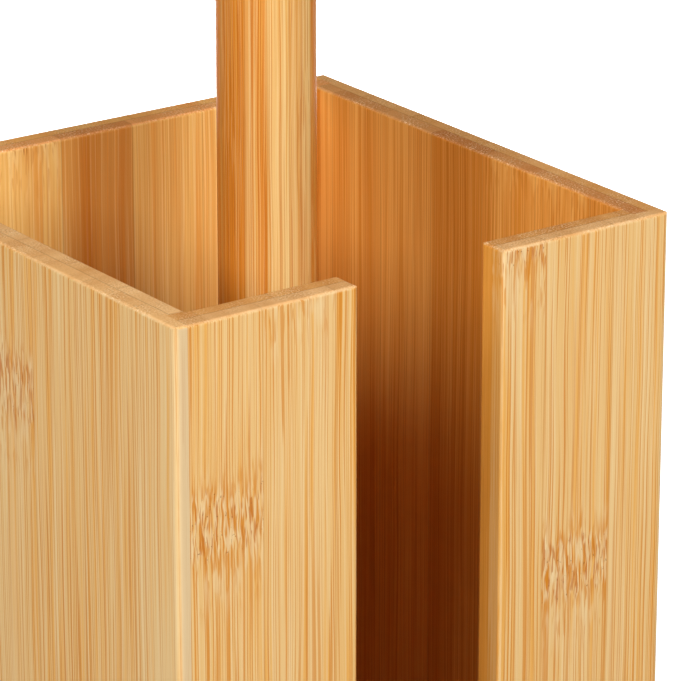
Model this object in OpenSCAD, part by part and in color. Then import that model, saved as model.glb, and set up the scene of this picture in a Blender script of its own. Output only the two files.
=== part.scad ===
// Free-standing toilet paper stand of laminated bamboo.
// A square open box holds the spare rolls, threaded on a round pole that stands in its middle.
// A slot down the front shows how many are left. The roll in use hangs on an arm near the pole's top,
// and the arm plugs into the pole, so that it can be pulled out when spare rolls go over the pole.
//
// Frame: millimetres, +Z up, the origin on the floor under the middle of the box.
// The slotted front of the box faces -Y and the arm points to +X.

/* [Box] */
// Outer width and depth of the square box
box_w = 170; // [150:5:220]
// Height of the box's rim above the floor
box_h = 330; // [220:10:450]
// Thickness of the four walls
wall_t = 10; // [8:1:14]
// Thickness of the base plate under the walls
plate_t = 15; // [14:1:22]
// Width of the slot down the middle of the front
slot_w = 50; // [30:2:70]

/* [Edges] */
// Rounding of the box's upright corners
corner_r = 2; // [1:0.5:3]
// Easing of all the other edges of the box
edge_r = 1; // [0.5:0.25:1.5]

/* [Corner joints] */
// Thickness of the lip at one end of each board, which covers the square end of the next board
lip_t = 4; // [3.5:0.5:6]

/* [Pole] */
// Diameter of the pole
pole_d = 29; // [28:1:34]
// Distance of the pole's axis to the right of the box's middle, as the photo shows it
pole_x = 4; // [0:0.5:6]
// Height of the pole's top above the floor
pole_h = 660; // [520:10:800]
// Depth of the socket that seats the pole in the base plate
socket_depth = 4; // [3:0.5:5]
// Rounding of the pole's top edge
pole_end_r = 3; // [1:0.5:5]
// Chamfer at the pole's foot
pole_foot_chamfer = 1; // [0.5:0.25:2]

/* [Roll arm] */
// Diameter of the arm that carries the roll in use
arm_d = 20; // [18:1:24]
// Length of the arm from the pole's surface to its free end
arm_reach = 120; // [105:5:150]
// Distance of the arm's axis below the pole's top
arm_drop = 30; // [20:1:60]
// Rounding of the arm's free end
arm_end_r = 4; // [1:0.5:6]
// Diameter of the collar that keeps the roll off the pole
collar_d = 24; // [22:1:26]
// Length of the collar from the pole's surface to its face
collar_l = 6; // [4:1:10]
// Rounding of the collar's face
collar_end_r = 1.5; // [0.5:0.5:3]
// Diameter of the tenon that plugs into the pole
tenon_d = 14; // [10:1:16]
// Depth to which the tenon reaches into the pole
tenon_l = 22; // [16:1:24]
// Chamfer at the tenon's tip
tenon_chamfer = 1; // [0.5:0.25:2]

/* [Pole fixing] */
// Thread diameter of the bolt that holds the pole down
bolt_d = 6; // [5:1:8]
// Length of the bolt under its head
bolt_l = 25; // [20:1:35]
// Diameter of the bolt's domed head
bolt_head_d = 10.5; // [9:0.5:13]
// Height of the bolt's head
bolt_head_h = 3.3; // [2:0.1:3.6]
// Width across the flats of the key socket in the bolt's head
bolt_key = 4; // [3:0.5:5]
// Outer diameter of the washer under the bolt's head
washer_d = 17; // [14:1:22]
// Thickness of the washer
washer_t = 1.6; // [1:0.2:2]
// Outer diameter of the threaded insert in the pole's foot
insert_d = 10; // [9.5:0.5:12]
// Length of the threaded insert
insert_l = 15; // [10:1:18]
// Depth of the pocket that hides the washer and the bolt's head
pocket_depth = 6; // [5.8:0.2:7]

/* [Base screws] */
// Shank diameter of the countersunk screws that hold the walls on the base plate
screw_d = 3.5; // [3:0.5:4]
// Length of the screws
screw_l = 38; // [30:1:50]
// Head diameter of the screws
screw_head_d = 7; // [6.5:0.5:8]
// Distance of the side and back panels' screws from the box's outer faces
screw_inset = 32; // [25:1:45]
// Distance between the two screws of each front panel
front_screw_pitch = 26; // [14:1:30]
// Depth of the screw heads below the base plate's underside
screw_sink = 0.4; // [0.2:0.1:0.8]

/* [Clearances] */
// Radial clearance of the arm's tenon in its bore and of the fasteners in theirs
fit_gap = 0.05; // [0.03:0.01:0.08]
// Gap between the arm's hollowed shoulder and the pole
shoulder_gap = 0.3; // [0.2:0.05:0.5]
// Radial clearance of the pole in its socket
socket_gap = 0.1; // [0.05:0.05:0.3]
// Radial clearance of the bolt and the screws where they pass through the base plate
pass_gap = 0.3; // [0.1:0.1:0.5]
// Spare depth past the tip of the tenon, the bolt and each screw
tip_gap = 1.5; // [1:0.5:2]

/* [Hidden] */
$fn = 64;
// How far a cutting shape runs past the face that it cuts
over = 1;
half_w = box_w / 2;
inner_half = half_w - wall_t;
pole_r = pole_d / 2;
pole_foot_z = plate_t - socket_depth;
arm_r = arm_d / 2;
arm_z = pole_h - arm_drop;
arm_end_x = pole_r + arm_reach;
collar_face_x = pole_r + collar_l;
shoulder_r = pole_r + shoulder_gap;
tenon_tip_x = pole_r - tenon_l;
washer_z = pocket_depth - washer_t;
screw_shank_r = screw_d / 2;
screw_head_r = screw_head_d / 2;
screw_head_rim = 0.4;
screw_cone_h = screw_head_r - screw_shank_r;
screw_point_l = 2 * screw_d;
screw_slot_w = 0.9;
screw_slot_d = 1.4;
// Middle line of each wall, where its screws go in
wall_mid = half_w - wall_t / 2;
front_panel_mid = (half_w - lip_t + slot_w / 2) / 2;
SCREW_PLACES = concat(
    [for (side = [-1, 1], y = [-1, 1]) [side * wall_mid, y * (half_w - screw_inset)]],
    [for (side = [-1, 1]) [side * (half_w - screw_inset), wall_mid]],
    [for (side = [-1, 1], step = [-0.5, 0.5]) [side * (front_panel_mid + step * front_screw_pitch), -wall_mid]]
);

BAMBOO = [0.87, 0.68, 0.43];
BAMBOO_DARK = [0.80, 0.58, 0.33];
STEEL = [0.72, 0.72, 0.70];
ZINC = [0.80, 0.74, 0.56];

// A rectangle from one corner to the other with its four corners rounded.
module eased_rect(low, high, r) {
    size = high - low;
    translate(low + [r, 0]) square([size[0] - 2 * r, size[1]]);
    translate(low + [0, r]) square([size[0], size[1] - 2 * r]);
    for (x = [low[0] + r, high[0] - r], y = [low[1] + r, high[1] - r]) translate([x, y]) circle(r);
}

// Extrude an XZ outline along Y, between two places on Y.
module along_y(y0, y1) {
    translate([0, y1, 0]) rotate([90, 0, 0]) linear_extrude(y1 - y0) children();
}

// Extrude a YZ outline along X, between two places on X.
module along_x(x0, x1) {
    translate([x0, 0, 0]) rotate([90, 0, 90]) linear_extrude(x1 - x0) children();
}

// The outside of the whole box, sanded after gluing: rounded upright corners, eased rim and foot.
module box_envelope() {
    intersection() {
        linear_extrude(box_h) eased_rect([-half_w, -half_w], [half_w, half_w], corner_r);
        along_y(-half_w - over, half_w + over) eased_rect([-half_w, 0], [half_w, box_h], edge_r);
        along_x(-half_w - over, half_w + over) eased_rect([-half_w, 0], [half_w, box_h], edge_r);
    }
}

// What easing takes off the inner edge of the rim: a slab less a round bar along each wall.
module mouth_easing() {
    reach = inner_half + edge_r;
    z = box_h - edge_r;
    difference() {
        translate([-reach, -reach, z]) cube([2 * reach, 2 * reach, edge_r + over]);
        for (side = [-1, 1]) {
            translate([side * reach, -half_w, z]) rotate([-90, 0, 0]) cylinder(h = box_w, r = edge_r);
            translate([-half_w, side * reach, z]) rotate([0, 90, 0]) cylinder(h = box_w, r = edge_r);
        }
    }
}

// The bores that the base screws cut in the lower ends of the walls.
module screw_pilots() {
    for (place = SCREW_PLACES)
        translate([place[0], place[1], 0])
            cylinder(h = screw_sink + screw_l + tip_gap, r = screw_shank_r + fit_gap);
}

// The left board before it is eased. It stands on the base plate, square at the back, where the next
// board's lip covers it, and rebated at the front, which leaves the lip that covers the front board.
module rebated_board() {
    difference() {
        translate([-half_w, -half_w, plate_t]) cube([wall_t, box_w - lip_t, box_h - plate_t]);
        translate([-half_w + lip_t, -half_w - over, plate_t - over])
            cube([wall_t, wall_t + over, box_h + over]);
    }
}

// The four boards are cut alike, and each is turned a quarter from the one before it, so that every
// corner is the same joint. They are eased and drilled after gluing.
module wall(turn) {
    difference() {
        intersection() {
            box_envelope();
            rotate([0, 0, turn]) rebated_board();
        }
        mouth_easing();
        screw_pilots();
    }
}

module left_side_panel() {
    color(BAMBOO) wall(0);
}

module right_side_panel() {
    color(BAMBOO) wall(180);
}

module back_panel() {
    color(BAMBOO) wall(270);
}

// The space on the left of the slot, with the easing of the slot's edges and of its upper corner.
module beside_slot() {
    intersection() {
        linear_extrude(box_h) eased_rect([-box_w, -half_w], [-slot_w / 2, -inner_half], edge_r);
        along_y(-half_w, -inner_half) eased_rect([-box_w, 0], [-slot_w / 2, box_h], edge_r);
    }
}

// The slot cuts the front board in two: the left part ends square in the near corner, and the right
// part has the lip that covers the right side panel.
module front_left_panel() {
    color(BAMBOO) intersection() {
        wall(90);
        beside_slot();
    }
}

module front_right_panel() {
    color(BAMBOO) intersection() {
        wall(90);
        mirror([1, 0, 0]) beside_slot();
    }
}

// The base plate lies under all the walls. It has a socket for the pole on top, a pocket for the
// bolt's head beneath, and a countersunk hole for each screw.
module base_plate() {
    color(BAMBOO) difference() {
        intersection() {
            box_envelope();
            translate([-half_w, -half_w, 0]) cube([box_w, box_w, plate_t]);
        }
        translate([pole_x, 0, 0]) {
            translate([0, 0, pole_foot_z]) cylinder(h = socket_depth + over, r = pole_r + socket_gap);
            translate([0, 0, -over]) cylinder(h = pocket_depth + over, r = washer_d / 2 + pass_gap);
            cylinder(h = plate_t, r = bolt_d / 2 + pass_gap);
        }
        for (place = SCREW_PLACES) translate([place[0], place[1], 0]) countersink();
    }
}

// The hole that a screw needs in the base plate.
module countersink() {
    rim_z = screw_sink + screw_head_rim;
    head_r = screw_head_r + fit_gap;
    rotate_extrude() polygon([
        [0, -over],
        [head_r, -over],
        [head_r, rim_z],
        [screw_shank_r + pass_gap, rim_z + head_r - screw_shank_r - pass_gap],
        [screw_shank_r + pass_gap, plate_t + over],
        [0, plate_t + over]
    ]);
}

// A countersunk wood screw, head down, with a cross recess.
module screw() {
    rim_z = screw_head_rim;
    difference() {
        rotate_extrude() polygon([
            [0, 0],
            [screw_head_r, 0],
            [screw_head_r, rim_z],
            [screw_shank_r, rim_z + screw_cone_h],
            [screw_shank_r, screw_l - screw_point_l],
            [0, screw_l]
        ]);
        for (turn = [0, 90]) rotate([0, 0, turn])
            translate([-screw_shank_r, -screw_slot_w / 2, -over])
                cube([screw_d, screw_slot_w, screw_slot_d + over]);
    }
}

module base_screws() {
    color(STEEL) for (place = SCREW_PLACES) translate([place[0], place[1], screw_sink]) screw();
}

// The pole is turned from glued-up bamboo. The insert's bore is in its foot, and the blind bore for
// the arm's tenon is near its top.
module pole() {
    color(BAMBOO_DARK) translate([pole_x, 0, 0]) difference() {
        translate([0, 0, pole_foot_z]) rotate_extrude() turned_end(pole_r, pole_h - pole_foot_z, pole_end_r,
            pole_foot_chamfer);
        translate([0, 0, pole_foot_z - over]) cylinder(h = insert_l + over, r = insert_d / 2 + fit_gap);
        cylinder(h = washer_z + bolt_l + tip_gap, r = bolt_d / 2 + fit_gap);
        translate([tenon_tip_x - tip_gap, 0, arm_z]) rotate([0, 90, 0])
            cylinder(h = tenon_l + tip_gap + over, r = tenon_d / 2 + fit_gap);
    }
}

// Half the outline of a turned bar that stands on zero: a round edge at the top, a chamfer at the foot.
module turned_end(r, length, end_r, chamfer) {
    polygon([
        [0, 0],
        [r - chamfer, 0],
        [r, chamfer],
        [r, length - end_r],
        [r - end_r, length - end_r],
        [r - end_r, length],
        [0, length]
    ]);
    translate([r - end_r, length - end_r]) intersection() {
        circle(end_r);
        square(end_r);
    }
}

// The threaded insert sits flush in the pole's foot.
module pole_insert() {
    color(ZINC) translate([pole_x, 0, pole_foot_z]) difference() {
        cylinder(h = insert_l, r = insert_d / 2);
        translate([0, 0, -over]) cylinder(h = insert_l + 2 * over, r = bolt_d / 2 + fit_gap);
    }
}

// The washer lies against the top of the pocket in the base plate.
module pole_washer() {
    color(STEEL) translate([pole_x, 0, washer_z]) difference() {
        cylinder(h = washer_t, r = washer_d / 2);
        translate([0, 0, -over]) cylinder(h = washer_t + 2 * over, r = bolt_d / 2 + pass_gap);
    }
}

// A bolt with a low domed head and a six-sided key socket.
module pole_bolt() {
    head_r = bolt_head_d / 2;
    dome_r = bolt_head_h * 0.8;
    color(STEEL) translate([pole_x, 0, washer_z]) {
        cylinder(h = bolt_l, r = bolt_d / 2);
        difference() {
            rotate([180, 0, 0]) rotate_extrude() turned_end(head_r, bolt_head_h, dome_r, 0);
            translate([0, 0, -bolt_head_h - over])
                cylinder(h = bolt_head_h / 2 + over, r = bolt_key / sqrt(3), $fn = 6);
        }
    }
}

// The arm is one turned piece: a round bar with a rounded free end, a collar hollowed to the pole's
// curve, which also keeps it from turning, and a thinner tenon that plugs into the pole.
module roll_arm() {
    color(BAMBOO) translate([pole_x, 0, arm_z]) {
        difference() {
            rotate([0, 90, 0]) rotate_extrude() {
                turned_end(arm_r, arm_end_x, arm_end_r, 0);
                turned_end(collar_d / 2, collar_face_x, collar_end_r, 0);
            }
            translate([0, 0, -collar_d]) cylinder(h = 2 * collar_d, r = shoulder_r);
        }
        translate([shoulder_r + over, 0, 0]) rotate([0, -90, 0]) rotate_extrude()
            turned_tip(tenon_d / 2, shoulder_r + over - tenon_tip_x, tenon_chamfer);
    }
}

// Half the outline of a round bar that stands on zero, chamfered at the top.
module turned_tip(r, length, chamfer) {
    polygon([[0, 0], [r, 0], [r, length - chamfer], [r - chamfer, length], [0, length]]);
}

base_plate();
left_side_panel();
right_side_panel();
back_panel();
front_left_panel();
front_right_panel();
base_screws();
pole();
pole_insert();
pole_washer();
pole_bolt();
roll_arm();
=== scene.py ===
import math

import bpy
import numpy as np
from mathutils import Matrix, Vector

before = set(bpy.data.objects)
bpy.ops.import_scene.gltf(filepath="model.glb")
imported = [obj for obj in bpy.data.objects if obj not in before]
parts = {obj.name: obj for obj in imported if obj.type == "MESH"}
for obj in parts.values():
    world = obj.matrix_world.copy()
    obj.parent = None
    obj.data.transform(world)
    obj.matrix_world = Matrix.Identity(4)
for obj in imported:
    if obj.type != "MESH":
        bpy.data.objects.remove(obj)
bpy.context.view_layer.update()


# The view of the photograph: from the front and the left of the box, about 20 degrees above its
# rim, with a long lens, so that the upright edges stay nearly parallel.
view_from = Vector((-0.7225, -1.0461, 0.7428))
view_yaw, view_pitch = 0.62375, 0.34649
photo_lens = bpy.data.cameras.new("photo_lens")
photo_lens.sensor_width = 36.0
photo_lens.lens = 243.9
photo_camera = bpy.data.objects.new("photo_camera", photo_lens)
photo_camera.location = view_from
photo_camera.rotation_euler = (math.pi / 2 - view_pitch, 0.0, -view_yaw)
bpy.context.scene.collection.objects.link(photo_camera)
bpy.context.scene.camera = photo_camera
bpy.context.scene.view_settings.view_transform = "Standard"


def linear(colour):
    """A colour written as six hex digits of sRGB, as linear red, green, blue and alpha."""
    shares = np.array([int(colour[i:i + 2], 16) for i in (1, 3, 5)]) / 255
    toe, curve = shares / 12.92, ((shares + 0.055) / 1.055) ** 2.4
    return (*np.where(shares <= 0.04045, toe, curve).tolist(), 1.0)


def add(tree, kind, sockets=(), **settings):
    """Adds a node, sets its properties, then gives each socket a value or another node's output."""
    node = tree.nodes.new(kind)
    for name, value in settings.items():
        setattr(node, name, value)
    for socket, value in dict(sockets).items():
        if isinstance(value, bpy.types.NodeSocket):
            tree.links.new(value, node.inputs[socket])
        else:
            node.inputs[socket].default_value = value
    return node.outputs


# The studio: a sweep of white paper, a soft box on the left and one before the slotted front, and a third
# low behind the box, below its rim, so that it lights the outside there and nothing within. The camera
# and reflections see plain white all round, and the sweep keeps the stand's shadow.
def seen_as_white(tree):
    """1 for what the camera sees, directly, mirrored or through glass, and 0 for the light on the stand."""
    path = add(tree, "ShaderNodeLightPath")
    mirrored = add(tree, "ShaderNodeMath", {0: path["Is Glossy Ray"], 1: path["Is Transmission Ray"]},
                   operation="MAXIMUM")
    return add(tree, "ShaderNodeMath", {0: path["Is Camera Ray"], 1: mirrored[0]}, operation="MAXIMUM")[0]


world = bpy.data.worlds.new("white_studio")
bpy.context.scene.world = world
world.use_nodes = True
world.node_tree.nodes.clear()
fill = add(world.node_tree, "ShaderNodeBackground", {"Color": linear("#FFFFFF"), "Strength": 0.012})
white = add(world.node_tree, "ShaderNodeBackground", {"Color": linear("#FFFFFF"), "Strength": 1.0})
sky = add(world.node_tree, "ShaderNodeMixShader",
          {0: seen_as_white(world.node_tree), 1: fill[0], 2: white[0]})
add(world.node_tree, "ShaderNodeOutputWorld", {"Surface": sky[0]})

middle_of_box = Vector((0.0, 0.0, 0.3))
for name, place, width, height, watts in (
    ("left_softbox", (-1.29, -0.37, 0.94), 1.6, 0.5, 20.5),
    ("front_softbox", (0.10, -1.33, 0.98), 0.9, 0.6, 18.4),
    ("rear_softbox", (0.80, 1.15, 0.16), 1.4, 0.3, 17.0),
):
    softbox = bpy.data.lights.new(name, "AREA")
    softbox.shape = "RECTANGLE"
    softbox.size = width
    softbox.size_y = height
    softbox.energy = watts
    lamp = bpy.data.objects.new(name, softbox)
    lamp.location = place
    lamp.visible_camera = False
    lamp.rotation_euler = (middle_of_box - Vector(place)).to_track_quat("-Z", "Y").to_euler()
    bpy.context.scene.collection.objects.link(lamp)

sweep_paper = bpy.data.materials.new("matt_white_paper")
sweep_paper.use_nodes = True
sweep_paper.node_tree.nodes.clear()
tree = sweep_paper.node_tree
spot = add(tree, "ShaderNodeTexCoord")["Object"]

# The camera sees white paper, so that the shadow shows, and the stand gets less light back from it.
# Its grain is about 1 mm across
grain = add(tree, "ShaderNodeTexNoise", {"Vector": spot, "Scale": 900.0})
tone = add(tree, "ShaderNodeMapRange", {"Value": grain[0], "To Min": 0.38, "To Max": 0.42})
eye = add(tree, "ShaderNodeLightPath")["Is Camera Ray"]
whiter = add(tree, "ShaderNodeMath", {0: eye, 1: tone[0], 2: tone[0]}, operation="MULTIPLY_ADD")
paper = add(tree, "ShaderNodeBsdfDiffuse", {"Color": whiter[0]})

# It glows white from 0.42 m on, and less near the stand, where its soft shadow lies
away = add(tree, "ShaderNodeVectorMath", {0: spot}, operation="LENGTH")["Value"]
backlight = add(tree, "ShaderNodeMapRange", {
    "Value": away, "From Min": 0.17, "From Max": 0.42, "To Min": 0.4, "To Max": 1.0},
    interpolation_type="SMOOTHSTEP")[0]
lift = add(tree, "ShaderNodeMath", {0: seen_as_white(tree), 1: backlight}, operation="MULTIPLY")
glow = add(tree, "ShaderNodeEmission", {"Color": linear("#FFFFFF"), "Strength": lift[0]})
both = add(tree, "ShaderNodeAddShader", {0: paper[0], 1: glow[0]})
add(tree, "ShaderNodeOutputMaterial", {"Surface": both[0]})

sweep_reach, under_stand = 12.0, 0.0002
sweep_mesh = bpy.data.meshes.new("sweep")
sweep_corners = np.array([[-1, -1, 0], [1, -1, 0], [1, 1, 0], [-1, 1, 0]]) * sweep_reach
sweep_corners -= [0, 0, under_stand]
sweep_mesh.from_pydata(sweep_corners.tolist(), [], [(0, 1, 2, 3)])
sweep_mesh.materials.append(sweep_paper)
sweep = bpy.data.objects.new("sweep", sweep_mesh)
bpy.context.scene.collection.objects.link(sweep)


# The four walls are boards pressed from two layers of flat bamboo strips, about 25 mm wide, glued
# edge to edge, with the fibres upright. Each strip shows the node of its cane, a band of short curled
# fibres, every 200 mm or so. They were sanded, glued at the corners, and lacquered satin.

# A colour ramp holds what is known of the strips, eight in a layer, and its 0 to 1 stand for 0 to 700 mm
strips_in_table = 8
tallest_mm = 700.0


def strip_table(seed, known):
    """For each strip of a layer: the heights of two of its nodes, and a tone from 0, dark, to 1, pale. Those
    in known, in mm, are as the photograph shows them, and a seeded draw gives the rest. The result has the
    heights as shares of tallest_mm."""
    draw = np.random.default_rng(seed)
    first = draw.uniform(30, 230, strips_in_table)
    second = first + draw.uniform(180, 240, strips_in_table)
    tone = draw.uniform(0.3, 0.75, strips_in_table)
    for strip, (low, high, shade) in known.items():
        first[strip], second[strip], tone[strip] = low, high, shade
    return np.stack([first / tallest_mm, tone, second / tallest_mm], 1)


def strips_in_layers(tree, across, through, split, inner_sign, start, width, tables):
    """Which layer and row of the tables a point is in, what they tell of its strip, and how far in mm the
    strip's glued edge is: the distance from the first edge, folded every half width."""
    layer = add(tree, "ShaderNodeMath", {0: through, 1: split},
                operation="GREATER_THAN" if inner_sign > 0 else "LESS_THAN")[0]
    first_edge = add(tree, "ShaderNodeMath", {0: layer, 1: start[1] - start[0], 2: start[0]},
                     operation="MULTIPLY_ADD")[0]
    from_edge = add(tree, "ShaderNodeMath", {0: across, 1: first_edge}, operation="SUBTRACT")[0]
    counted = add(tree, "ShaderNodeMath", {0: from_edge, 1: width}, operation="DIVIDE")[0]
    strip = add(tree, "ShaderNodeMath", {0: counted}, operation="FLOOR")[0]
    row = add(tree, "ShaderNodeMath", {0: layer, 1: float(strips_in_table), 2: strip},
              operation="MULTIPLY_ADD")[0]
    place = add(tree, "ShaderNodeMath", {0: row, 1: 0.5 / strips_in_table, 2: 0.25 / strips_in_table},
                operation="MULTIPLY_ADD")[0]
    ramp = add(tree, "ShaderNodeValToRGB", {0: place})
    stops = ramp[0].node.color_ramp
    stops.interpolation = "CONSTANT"
    rows = np.concatenate(tables)
    while len(stops.elements) < len(rows):
        stops.elements.new(0.5)
    for i, values in enumerate(rows):
        stops.elements[i].position = i / len(rows)
        stops.elements[i].color = (*values.tolist(), 1.0)
    facts = add(tree, "ShaderNodeSeparateColor", {0: ramp[0]})
    edge = add(tree, "ShaderNodeMath", {0: from_edge, 1: width / 2}, operation="PINGPONG")[0]
    return layer, row, facts, edge


def cane_nodes(tree, own, along, facts):
    """How much of a cane's node is here: its core of curled fibres, 14 to 20 mm high, the dark flames that
    rise over it and trail below it, and the pale flare round it. A noise moves their borders up or down by
    up to 9 mm from fibre to fibre. All lengths are in mm."""
    coarse = add(tree, "ShaderNodeVectorMath", {0: own, 1: (0.5, 1.0, 0.03)}, operation="MULTIPLY")[0]
    ragged = add(tree, "ShaderNodeTexNoise", {"Vector": coarse, "Scale": 1.0, "Detail": 1.0})[0]
    offset = add(tree, "ShaderNodeMath", {0: ragged, 1: 18.0, 2: -9.0}, operation="MULTIPLY_ADD")[0]
    height = add(tree, "ShaderNodeMath", {0: along, 1: offset}, operation="ADD")[0]
    low = add(tree, "ShaderNodeMath", {0: facts[0], 1: -tallest_mm, 2: height}, operation="MULTIPLY_ADD")[0]
    high = add(tree, "ShaderNodeMath", {0: facts[2], 1: -tallest_mm, 2: height},
               operation="MULTIPLY_ADD")[0]
    low_gap = add(tree, "ShaderNodeMath", {0: low}, operation="ABSOLUTE")[0]
    high_gap = add(tree, "ShaderNodeMath", {0: high}, operation="ABSOLUTE")[0]
    upper = add(tree, "ShaderNodeMath", {0: high_gap, 1: low_gap}, operation="LESS_THAN")[0]
    over = add(tree, "ShaderNodeMix", {0: upper, 2: low, 3: high})[0]
    gap = add(tree, "ShaderNodeMath", {0: low_gap, 1: high_gap}, operation="MINIMUM")[0]
    core = add(tree, "ShaderNodeMapRange", {"Value": gap, "From Min": 7.0, "From Max": 10.0, "To Min": 1.0,
                                            "To Max": 0.0}, interpolation_type="SMOOTHSTEP")[0]
    rising = add(tree, "ShaderNodeMapRange", {"Value": over, "From Min": 5.0, "From Max": 17.0,
                                              "To Min": 1.0, "To Max": 0.0},
                 interpolation_type="SMOOTHSTEP")[0]
    trailing = add(tree, "ShaderNodeMapRange", {"Value": over, "From Min": -16.0, "From Max": -5.0,
                                                "To Min": 0.0, "To Max": 1.0},
                   interpolation_type="SMOOTHSTEP")[0]
    flames = add(tree, "ShaderNodeMath", {0: rising, 1: trailing}, operation="MULTIPLY")[0]
    below = add(tree, "ShaderNodeMapRange", {"Value": over, "From Min": -34.0, "From Max": -11.0,
                                             "To Min": 0.0, "To Max": 1.0},
                interpolation_type="SMOOTHSTEP")[0]
    above = add(tree, "ShaderNodeMapRange", {"Value": over, "From Min": 8.0, "From Max": 20.0,
                                             "To Min": 1.0, "To Max": 0.0},
                interpolation_type="SMOOTHSTEP")[0]
    flare = add(tree, "ShaderNodeMath", {0: below, 1: above}, operation="MULTIPLY")[0]
    return core, flames, flare


def cut_fibre_ends(tree, in_mm, through, split, layer, toned, seam, colours):
    """End grain: the cut ends of the fibres, as pale and dark dots in patches, and the layers' glue line.
    The real ends are about 0.2 mm across, and the dots are drawn 0.5 mm across so that they show."""
    ends = add(tree, "ShaderNodeTexNoise", {"Vector": in_mm, "Scale": 1.8, "Detail": 2.0,
                                            "Roughness": 0.6})[0]
    patches = add(tree, "ShaderNodeTexNoise", {"Vector": in_mm, "Scale": 0.09, "Detail": 2.0})[0]
    strength = add(tree, "ShaderNodeMapRange", {"Value": patches, "From Min": 0.4, "From Max": 0.62,
                                                "To Min": 0.2, "To Max": 1.0})[0]
    outer = add(tree, "ShaderNodeMix", {0: toned, 6: linear(colours["end_dark"]),
                                        7: linear(colours["end_pale"])}, data_type="RGBA")[2]
    inner = add(tree, "ShaderNodeMix", {0: toned, 6: linear(colours["inner_end_dark"]),
                                        7: linear(colours["inner_end_pale"])}, data_type="RGBA")[2]
    ground = add(tree, "ShaderNodeMix", {0: layer, 6: outer, 7: inner}, data_type="RGBA")[2]
    pale_dots = add(tree, "ShaderNodeMapRange",
                    {"Value": ends, "From Min": 0.53, "From Max": 0.64, "To Min": 0.0, "To Max": 0.8})[0]
    pale_mix = add(tree, "ShaderNodeMath", {0: pale_dots, 1: strength}, operation="MULTIPLY")[0]
    paled = add(tree, "ShaderNodeMix", {0: pale_mix, 6: ground, 7: linear(colours["end_pale_dot"])},
                data_type="RGBA")[2]
    dark_dots = add(tree, "ShaderNodeMapRange",
                    {"Value": ends, "From Min": 0.46, "From Max": 0.35, "To Min": 0.0, "To Max": 0.38})[0]
    dark_mix = add(tree, "ShaderNodeMath", {0: dark_dots, 1: strength}, operation="MULTIPLY")[0]
    dotted = add(tree, "ShaderNodeMix", {0: dark_mix, 6: paled, 7: linear(colours["end_dot"])},
                 data_type="RGBA")[2]
    from_split = add(tree, "ShaderNodeMath", {0: through, 1: split}, operation="SUBTRACT")[0]
    split_gap = add(tree, "ShaderNodeMath", {0: from_split}, operation="ABSOLUTE")[0]
    split_line = add(tree, "ShaderNodeMapRange",
                     {"Value": split_gap, "From Min": 0.08, "From Max": 0.3, "To Min": 0.3,
                      "To Max": 0.0})[0]
    faint = add(tree, "ShaderNodeMath", {0: seam, 1: 0.35}, operation="MULTIPLY")[0]
    lines = add(tree, "ShaderNodeMath", {0: split_line, 1: faint}, operation="MAXIMUM")[0]
    return add(tree, "ShaderNodeMix", {0: lines, 6: dotted, 7: linear(colours["end_dot"])},
               data_type="RGBA")[2], ends


def eased_edge(tree, squareness):
    """How far a point is round a sanded edge, from the share of its normal along one axis: 0 on the two
    faces that meet there, and 1 at 45 degrees."""
    leaving = add(tree, "ShaderNodeMapRange", {"Value": squareness, "From Min": 0.15, "From Max": 0.5})[0]
    reaching = add(tree, "ShaderNodeMapRange", {"Value": squareness, "From Min": 0.97, "From Max": 0.8})[0]
    return add(tree, "ShaderNodeMath", {0: leaving, 1: reaching}, operation="MULTIPLY")[0]


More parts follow.
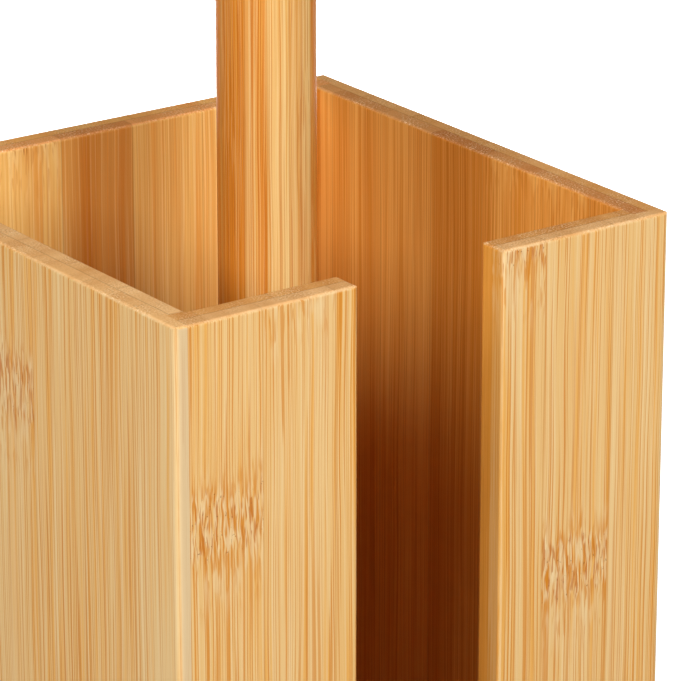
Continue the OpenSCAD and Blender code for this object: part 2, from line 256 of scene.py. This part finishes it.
def laminated_bamboo(name, axes, split, inner_sign, start, width, tables, colours, fibre=1.0,
                     side=("#EAA040", 0.5), turn=0.0, centre=(0.0, 0.0, 0.0), gloss=0.1, corners=0.35):
    """Laminated bamboo under satin lacquer. Axes are across the strips, through the layers and along the
    fibres. The layers meet at split, and the inner one is on the side of inner_sign. Strips are width wide
    from start on, one start for each layer. The satin comes from a roughness near 0.4, and the dark fibres
    give it its fine upright lines."""
    material = bpy.data.materials.new(name)
    material.use_nodes = True
    material.node_tree.nodes.clear()
    tree = material.node_tree
    lookup = add(tree, "ShaderNodeTexCoord")
    in_mm = add(tree, "ShaderNodeMapping", {
        "Vector": lookup["Object"], "Scale": (1000.0,) * 3, "Rotation": (0, 0, turn), "Location": centre})
    axis = add(tree, "ShaderNodeSeparateXYZ", {0: in_mm[0]})
    across, through, along = (axis[i] for i in axes)
    facing = add(tree, "ShaderNodeSeparateXYZ", {0: lookup["Normal"]})
    layer, row, facts, edge = strips_in_layers(
        tree, across, through, split, inner_sign, start, width, tables)

    # Each strip and each kind of streak reads the noise at a place of its own
    strip_step, depth_step, kind_step = 29.0, 11.0, 53.0
    apart = add(tree, "ShaderNodeMath", {0: row, 1: strip_step}, operation="MULTIPLY")[0]
    own = add(tree, "ShaderNodeCombineXYZ", {0: across, 1: apart, 2: along})[0]
    core, flames, flare = cane_nodes(tree, own, along, facts)

    # The fibres run straight, wander a little, and curl in the node
    slow = add(tree, "ShaderNodeVectorMath", {0: own, 1: (0.06, 1.0, 0.012)}, operation="MULTIPLY")[0]
    wander = add(tree, "ShaderNodeTexNoise", {"Vector": slow, "Scale": 1.0, "Detail": 1.0})[0]
    tight = add(tree, "ShaderNodeVectorMath", {0: own, 1: (0.3, 1.0, 0.12)}, operation="MULTIPLY")[0]
    curl = add(tree, "ShaderNodeTexNoise", {"Vector": tight, "Scale": 1.0, "Detail": 1.0})[0]
    curl_reach = add(tree, "ShaderNodeMath", {0: core, 1: 1.3}, operation="MULTIPLY")[0]
    curl_side = add(tree, "ShaderNodeMath", {0: curl, 1: 0.5}, operation="SUBTRACT")[0]
    curled = add(tree, "ShaderNodeMath", {0: curl_side, 1: curl_reach}, operation="MULTIPLY")[0]
    wandered = add(tree, "ShaderNodeMath", {0: wander, 1: 2.5, 2: across}, operation="MULTIPLY_ADD")[0]
    bent = add(tree, "ShaderNodeMath", {0: wandered, 1: curled}, operation="ADD")[0]
    stacked = add(tree, "ShaderNodeMath", {0: row, 1: depth_step, 2: through}, operation="MULTIPLY_ADD")[0]
    along_fibre = add(tree, "ShaderNodeCombineXYZ", {0: bent, 1: stacked, 2: along})[0]

    # The widths and lengths of streaks in mm, and the noise at which they start and are full. Real bundles
    # of fibres are about 0.2 mm wide, and the finest here is drawn twice as wide so that it shows
    masks = {}
    for kind, wide, long, start_at, full_at, most in (
        ("fine", 0.42, 140.0, 0.54, 0.58, 1.0),
        ("pale", 0.62, 110.0, 0.535, 0.62, 0.6),
        ("band", 1.7, 120.0, 0.52, 0.66, 0.72),
        ("mottle", 1.8, 16.0, 0.50, 0.60, 0.50),
        ("fleck", 0.8, 9.0, 0.57, 0.64, 0.60),
        ("flame", 0.65, 13.0, 0.50, 0.60, 0.85),
        ("cream", 0.85, 9.0, 0.50, 0.58, 0.66),
        ("thread", 0.55, 7.0, 0.57, 0.62, 0.75),
        ("spot", 0.8, 1.2, 0.71, 0.76, 0.75),
    ):
        stretched = add(tree, "ShaderNodeVectorMath", {
            0: along_fibre, 1: (1 / (wide * fibre), 1 / (wide * fibre), 1 / long)}, operation="MULTIPLY")[0]
        moved = add(tree, "ShaderNodeVectorMath", {0: stretched, 1: (0, kind_step * len(masks), 0)},
                    operation="ADD")[0]
        noise = add(tree, "ShaderNodeTexNoise", {"Vector": moved, "Scale": 1.0, "Detail": 1.0})[0]
        masks[kind] = add(tree, "ShaderNodeMapRange",
                          {"Value": noise, "From Min": start_at, "From Max": full_at, "To Max": most})[0]
        if kind == "fine":
            fibres = noise

    # The colour is the strip's tone, broad bands in it, pale and dark fibres, then the node over them
    broad = add(tree, "ShaderNodeVectorMath", {0: own, 1: (0.14, 1.0, 0.004)}, operation="MULTIPLY")[0]
    bands = add(tree, "ShaderNodeTexNoise", {"Vector": broad, "Scale": 1.0, "Detail": 2.0})[0]
    shade = add(tree, "ShaderNodeMath", {0: bands, 1: 1.4, 2: -0.7}, operation="MULTIPLY_ADD")[0]
    toned = add(tree, "ShaderNodeMath", {0: shade, 1: facts[1]}, operation="ADD", use_clamp=True)[0]
    shades = {
        kind: add(tree, "ShaderNodeMix", {0: layer, 6: linear(colours[kind]),
                                          7: linear(colours["inner_" + kind])}, data_type="RGBA")[2]
        for kind in ("dark_strip", "pale_strip", "pale_fibre", "amber_fibre", "dark_fibre")}
    dulled = add(tree, "ShaderNodeMapRange", {"Value": toned, "To Min": 0.45, "To Max": 1.0})[0]
    plainer = add(tree, "ShaderNodeMapRange", {"Value": toned, "To Min": 1.0, "To Max": 0.45})[0]
    colour = add(tree, "ShaderNodeMix", {0: toned, 6: shades["dark_strip"], 7: shades["pale_strip"]},
                 data_type="RGBA")[2]
    for kind, where, hue in (
        ("band", None, shades["amber_fibre"]),
        ("pale", dulled, shades["pale_fibre"]),
        ("fine", plainer, shades["dark_fibre"]),
        ("mottle", flare, shades["pale_fibre"]),
        ("fleck", flare, shades["dark_fibre"]),
        ("flame", flames, shades["dark_fibre"]),
        ("cream", core, shades["pale_fibre"]),
        ("thread", core, linear(colours["node_line"])),
        ("spot", core, linear(colours["node_spot"])),
    ):
        share = masks[kind]
        if where is not None:
            share = add(tree, "ShaderNodeMath", {0: share, 1: where}, operation="MULTIPLY")[0]
        colour = add(tree, "ShaderNodeMix", {0: share, 6: colour, 7: hue}, data_type="RGBA")[2]
    seam = add(tree, "ShaderNodeMapRange", {
        "Value": edge, "From Min": 0.1, "From Max": 0.4, "To Min": 0.5, "To Max": 0.0})[0]
    joined = add(tree, "ShaderNodeMix", {0: seam, 6: colour, 7: linear(colours["glue"])},
                 data_type="RGBA")[2]

    # A strip's own side, where a board ends, is smooth and pale, and its ends show the cut fibres
    side_on = add(tree, "ShaderNodeMath", {0: facing[axes[0]]}, operation="ABSOLUTE")[0]
    side_share = add(tree, "ShaderNodeMapRange",
                     {"Value": side_on, "From Min": 0.75, "From Max": 0.95, "To Max": side[1]})[0]
    sided = add(tree, "ShaderNodeMix", {0: side_share, 6: joined, 7: linear(side[0])}, data_type="RGBA")[2]
    end_grain, ends = cut_fibre_ends(tree, in_mm[0], through, split, layer, toned, seam, colours)
    end_on = add(tree, "ShaderNodeMath", {0: facing[axes[2]]}, operation="ABSOLUTE")[0]
    cut = add(tree, "ShaderNodeMapRange", {"Value": end_on, "From Min": 0.4, "From Max": 0.75})[0]
    finished = add(tree, "ShaderNodeMix", {0: cut, 6: sided, 7: end_grain}, data_type="RGBA")[2]

    # Sanding took the edges down to paler, bare fibres, more in some places than in others
    outward = add(tree, "ShaderNodeMath", {0: layer, 1: -0.8, 2: 1.0}, operation="MULTIPLY_ADD")[0]
    rim = add(tree, "ShaderNodeMath", {0: eased_edge(tree, end_on), 1: outward}, operation="MULTIPLY")[0]
    corner = add(tree, "ShaderNodeMath", {0: eased_edge(tree, side_on), 1: corners},
                 operation="MULTIPLY")[0]
    eased = add(tree, "ShaderNodeMath", {0: rim, 1: corner}, operation="MAXIMUM")[0]
    uneven = add(tree, "ShaderNodeTexNoise", {"Vector": in_mm[0], "Scale": 0.12, "Detail": 2.0})[0]
    rubbed = add(tree, "ShaderNodeMapRange", {"Value": uneven, "From Min": 0.38, "From Max": 0.62,
                                              "To Min": 0.0, "To Max": 0.38})[0]
    worn = add(tree, "ShaderNodeMath", {0: eased, 1: rubbed}, operation="MULTIPLY")[0]
    edged = add(tree, "ShaderNodeMix", {0: worn, 6: finished, 7: linear(colours["bare"])},
                data_type="RGBA")[2]

    rough = add(tree, "ShaderNodeMapRange", {"Value": fibres, "From Min": 0.3, "From Max": 0.7,
                                             "To Min": 0.38, "To Max": 0.5})[0]
    open_grain = add(tree, "ShaderNodeMath", {0: cut, 1: worn}, operation="MAXIMUM")[0]
    matt = add(tree, "ShaderNodeMapRange", {"Value": open_grain, "To Min": rough, "To Max": 0.85})[0]
    relief = add(tree, "ShaderNodeMath", {0: fibres, 1: ends}, operation="ADD")[0]
    bump = add(tree, "ShaderNodeBump", {"Strength": 0.2, "Distance": 0.0002, "Height": relief})
    satin = add(tree, "ShaderNodeBsdfPrincipled", {
        "Base Color": edged, "Roughness": matt, "Normal": bump[0], "IOR": 1.5, "Specular IOR Level": gloss})
    add(tree, "ShaderNodeOutputMaterial", {"Surface": satin[0]})
    return material


# The inner layer's colours are darker and more orange than the outer layer's. This is partly the inner ply's
# own tone and partly painted shade of the inside of the box, where light bounces from wall to wall.
board_colours = {
    "dark_strip": "#DCA95F", "pale_strip": "#E4C28A", "pale_fibre": "#E6CB9A", "amber_fibre": "#E0A048",
    "dark_fibre": "#CA7C1E",
    "inner_dark_strip": "#D3842F", "inner_pale_strip": "#ECA752", "inner_pale_fibre": "#F3B864",
    "inner_amber_fibre": "#D6862C", "inner_dark_fibre": "#C67523",
    "node_line": "#BC6E24", "node_spot": "#8A5424", "glue": "#C88A42",
    "end_dark": "#D49552", "end_pale": "#F9C485", "inner_end_dark": "#CA8037", "inner_end_pale": "#F1B369",
    "end_pale_dot": "#FFE0B0", "end_dot": "#8E5826", "bare": "#EED2A2"}
# The left wall's inner layer is darker still. This is painted shade: the hidden face sends less light into
# the box. Its ends are lighter than the front boards', which is painted light on a near top. The base
# plate's colours start from these and keep these ends.
left_colours = dict(
    board_colours, inner_dark_strip="#B26C26", inner_pale_strip="#C67E34", inner_pale_fibre="#CC8A3E",
    inner_amber_fibre="#B87028", inner_dark_fibre="#A25C1C",
    end_dark="#DA9853", end_pale="#FDC884", inner_end_dark="#DA9A55", inner_end_pale="#FFCD8C")
# The right wall's ends are darker than the front boards'. This is painted shade on a top that is far from
# the lamps.
right_colours = dict(
    board_colours,
    end_dark="#D69248", end_pale="#F0B36E", inner_end_dark="#C4783A", inner_end_pale="#DE9A58")
# On the back wall, the inner layer's pale strips and fibres are lighter than the other boards'. This is
# painted light where the lamps reach the wall less. Its dark strip is darker and redder, partly its own tone
# and partly the pole's painted shadow. Its ends are more orange, which is painted shade on a far top.
back_colours = dict(
    board_colours, inner_dark_strip="#D37D2A", inner_pale_strip="#F8C671", inner_pale_fibre="#FBD48C",
    inner_amber_fibre="#E89C44", inner_dark_fibre="#DC9648",
    end_dark="#F09A49", end_pale="#FEC06C", inner_end_dark="#DD8B49", inner_end_pale="#F8AA61")

# Each board has an outer and an inner layer. The strips that the photograph shows are given as in it
X, Y, Z = 0, 1, 2
left_layers = (
    strip_table(11, {0: (20, 440, 0.85), 1: (60, 400, 0.55), 2: (120, 420, 0.5), 3: (80, 289, 0.5)}),
    strip_table(12, {}))
right_layers = (
    strip_table(13, {}),
    strip_table(14, {0: (60, 420, 0.5), 1: (40, 346, 0.6), 2: (80, 344, 0.6), 3: (40, 460, 0.12),
                     4: (90, 400, 0.9), 5: (60, 420, 0.62), 6: (60, 430, 0.85)}))
# On the back wall's inner layer, strip 3, behind the pole, is dark. This is partly its own tone and partly
# the pole's painted shadow.
back_layers = (
    strip_table(15, {}),
    strip_table(16, {2: (80, 338, 0.92), 3: (100, 450, 0.16), 4: (60, 430, 0.76), 5: (60, 430, 0.66)}))
front_layers = (
    strip_table(17, {1: (38, 271, 0.55), 2: (115, 342, 0.65), 3: (110, 420, 0.35), 5: (100, 333, 0.5),
                     6: (20, 229, 0.6), 7: (60, 400, 0.62)}),
    strip_table(18, {5: (60, 400, 0.3), 6: (90, 430, 0.35), 7: (60, 410, 0.3)}))
bamboo_of = {
    "left_side_panel": laminated_bamboo(
        "laminated_bamboo_left", (Y, X, Z), -80.0, 1, (-89.5, -100.0), 25.5, left_layers, left_colours,
        side=("#D3B88F", 0.75)),
    "right_side_panel": laminated_bamboo(
        "laminated_bamboo_right", (Y, X, Z), 80.0, -1, (-95.0, -86.5), 25.5, right_layers, right_colours),
    "back_panel": laminated_bamboo(
        "laminated_bamboo_back", (X, Y, Z), 80.0, -1, (-92.0, -95.4), 25.5, back_layers, back_colours),
    "front_left_panel": laminated_bamboo(
        "laminated_bamboo_front", (X, Y, Z), -80.0, 1, (-105.25, -98.0), 24.25, front_layers,
        board_colours),
}
# The slot cuts one board in two, so both front panels go on with the same strips
bamboo_of["front_right_panel"] = bamboo_of["front_left_panel"]


# The base plate is the same board, 15 mm thick, with its fibres across the box. It carries the walls,
# which are screwed to it from below, and it is lacquered with them.
base_colours = dict(
    left_colours, inner_dark_strip="#D09A52", inner_pale_strip="#DDB273", inner_pale_fibre="#E2BC82",
    inner_amber_fibre="#D4963E", inner_dark_fibre="#BC7622")
base_layers = (strip_table(19, {}), strip_table(20, {}))
bamboo_of["base_plate"] = laminated_bamboo(
    "laminated_bamboo_base", (Y, Z, X), 7.5, 1, (-98.0, -90.0), 25.5, base_layers, base_colours,
    side=("#DEAE6C", 0.5))


# The pole is turned from a blank of upright bamboo strips glued face to face. A glue line faces the
# viewer of the photograph, with a darker strip on the left of it and a pale one on the right.
pole_colours = dict(board_colours, dark_strip="#D17D26", pale_strip="#E4BD7A", pale_fibre="#E8C68A",
                    amber_fibre="#DC9E4C", dark_fibre="#BE6C20")
for name in ("dark_strip", "pale_strip", "pale_fibre", "amber_fibre", "dark_fibre"):
    pole_colours["inner_" + name] = pole_colours[name]
pole_turn = math.radians(32.0)
pole_off_middle = 4.0
pole_centre = (-pole_off_middle * math.cos(pole_turn), -pole_off_middle * math.sin(pole_turn), 0.0)

# A turned rod shows finer fibres, has no corners and no strip's side, and its gloss is low, so that its
# round doesn't mirror the white studio
turned_rod = dict(fibre=0.6, side=("#D8923E", 0.0), gloss=0.03, corners=0.0)
# The strips at both edges of the round, as seen from the front left, are the darkest. This is partly their
# own tone and partly painted shade where the round turns away from the lamps.
pole_layers = (strip_table(21, {
    1: (170, 520, 0.0), 2: (200, 480, 0.0), 3: (120, 560, 0.29), 4: (230, 600, 0.95), 5: (160, 505, 0.66),
    6: (190, 545, 0.08)}),) * 2
bamboo_of["pole"] = laminated_bamboo(
    "turned_bamboo_pole", (X, Y, Z), 0.0, 1, (-26.1, -26.1), 6.4, pole_layers, pole_colours,
    turn=pole_turn, centre=pole_centre, **turned_rod)


# The roll arm is a thinner rod of the same, with a collar and a tenon turned on it, and its fibres run
# along it. It plugs into the pole 630 mm up, at the height of its own glue line.
arm_layers = (strip_table(22, {}),) * 2
bamboo_of["roll_arm"] = laminated_bamboo(
    "turned_bamboo_arm", (Y, Z, X), 630.0, 1, (-28.0, -28.0), 7.0, arm_layers, pole_colours, **turned_rod)

for node, bamboo in bamboo_of.items():
    parts[node].material_slots[0].material = bamboo


# The screws, bolt and washer are steel, zinc plated and bright, and the insert in the pole's foot is a
# zinc casting, yellower and duller. All are sunk in the wood, and their heads show only from below.
def plated_metal(name, base, rough_low, rough_high, grain_mm):
    """Metal with a fine crystalline mottle, grain_mm across, which makes its gloss uneven. Base is two
    tones of the mottle and the brighter one of rubbed edges."""
    material = bpy.data.materials.new(name)
    material.use_nodes = True
    material.node_tree.nodes.clear()
    tree = material.node_tree
    lookup = add(tree, "ShaderNodeTexCoord")
    mottle = add(tree, "ShaderNodeTexNoise", {"Vector": lookup["Object"], "Scale": 1000.0 / grain_mm,
                                              "Detail": 3.0})[0]
    tint = add(tree, "ShaderNodeMix", {0: mottle, 6: linear(base[0]), 7: linear(base[1])},
               data_type="RGBA")[2]
    facing = add(tree, "ShaderNodeSeparateXYZ", {0: lookup["Normal"]})
    upright = add(tree, "ShaderNodeMath", {0: facing[2]}, operation="ABSOLUTE")[0]
    worn = add(tree, "ShaderNodeMath", {0: eased_edge(tree, upright), 1: mottle}, operation="MULTIPLY")[0]
    edged = add(tree, "ShaderNodeMix", {0: worn, 6: tint, 7: linear(base[2])}, data_type="RGBA")[2]
    smoothed = add(tree, "ShaderNodeMath", {0: worn, 1: -0.2, 2: rough_high}, operation="MULTIPLY_ADD")[0]
    rough = add(tree, "ShaderNodeMapRange", {"Value": mottle, "To Min": rough_low, "To Max": smoothed})[0]
    bump = add(tree, "ShaderNodeBump", {"Strength": 0.1, "Distance": 0.0001, "Height": mottle})
    metal = add(tree, "ShaderNodeBsdfPrincipled",
                {"Base Color": edged, "Metallic": 1.0, "Roughness": rough, "Normal": bump[0]})
    add(tree, "ShaderNodeOutputMaterial", {"Surface": metal[0]})
    return material


zinc_plate = plated_metal("zinc_plated_steel", ("#C9CBCB", "#B3B6B8", "#E2E3E2"), 0.22, 0.38, 0.8)
zinc_casting = plated_metal("zinc_casting", ("#BFB9A4", "#A8A391", "#D6D0BC"), 0.4, 0.55, 1.2)
for node in ("base_screws", "pole_bolt", "pole_washer"):
    parts[node].material_slots[0].material = zinc_plate
parts["pole_insert"].material_slots[0].material = zinc_casting
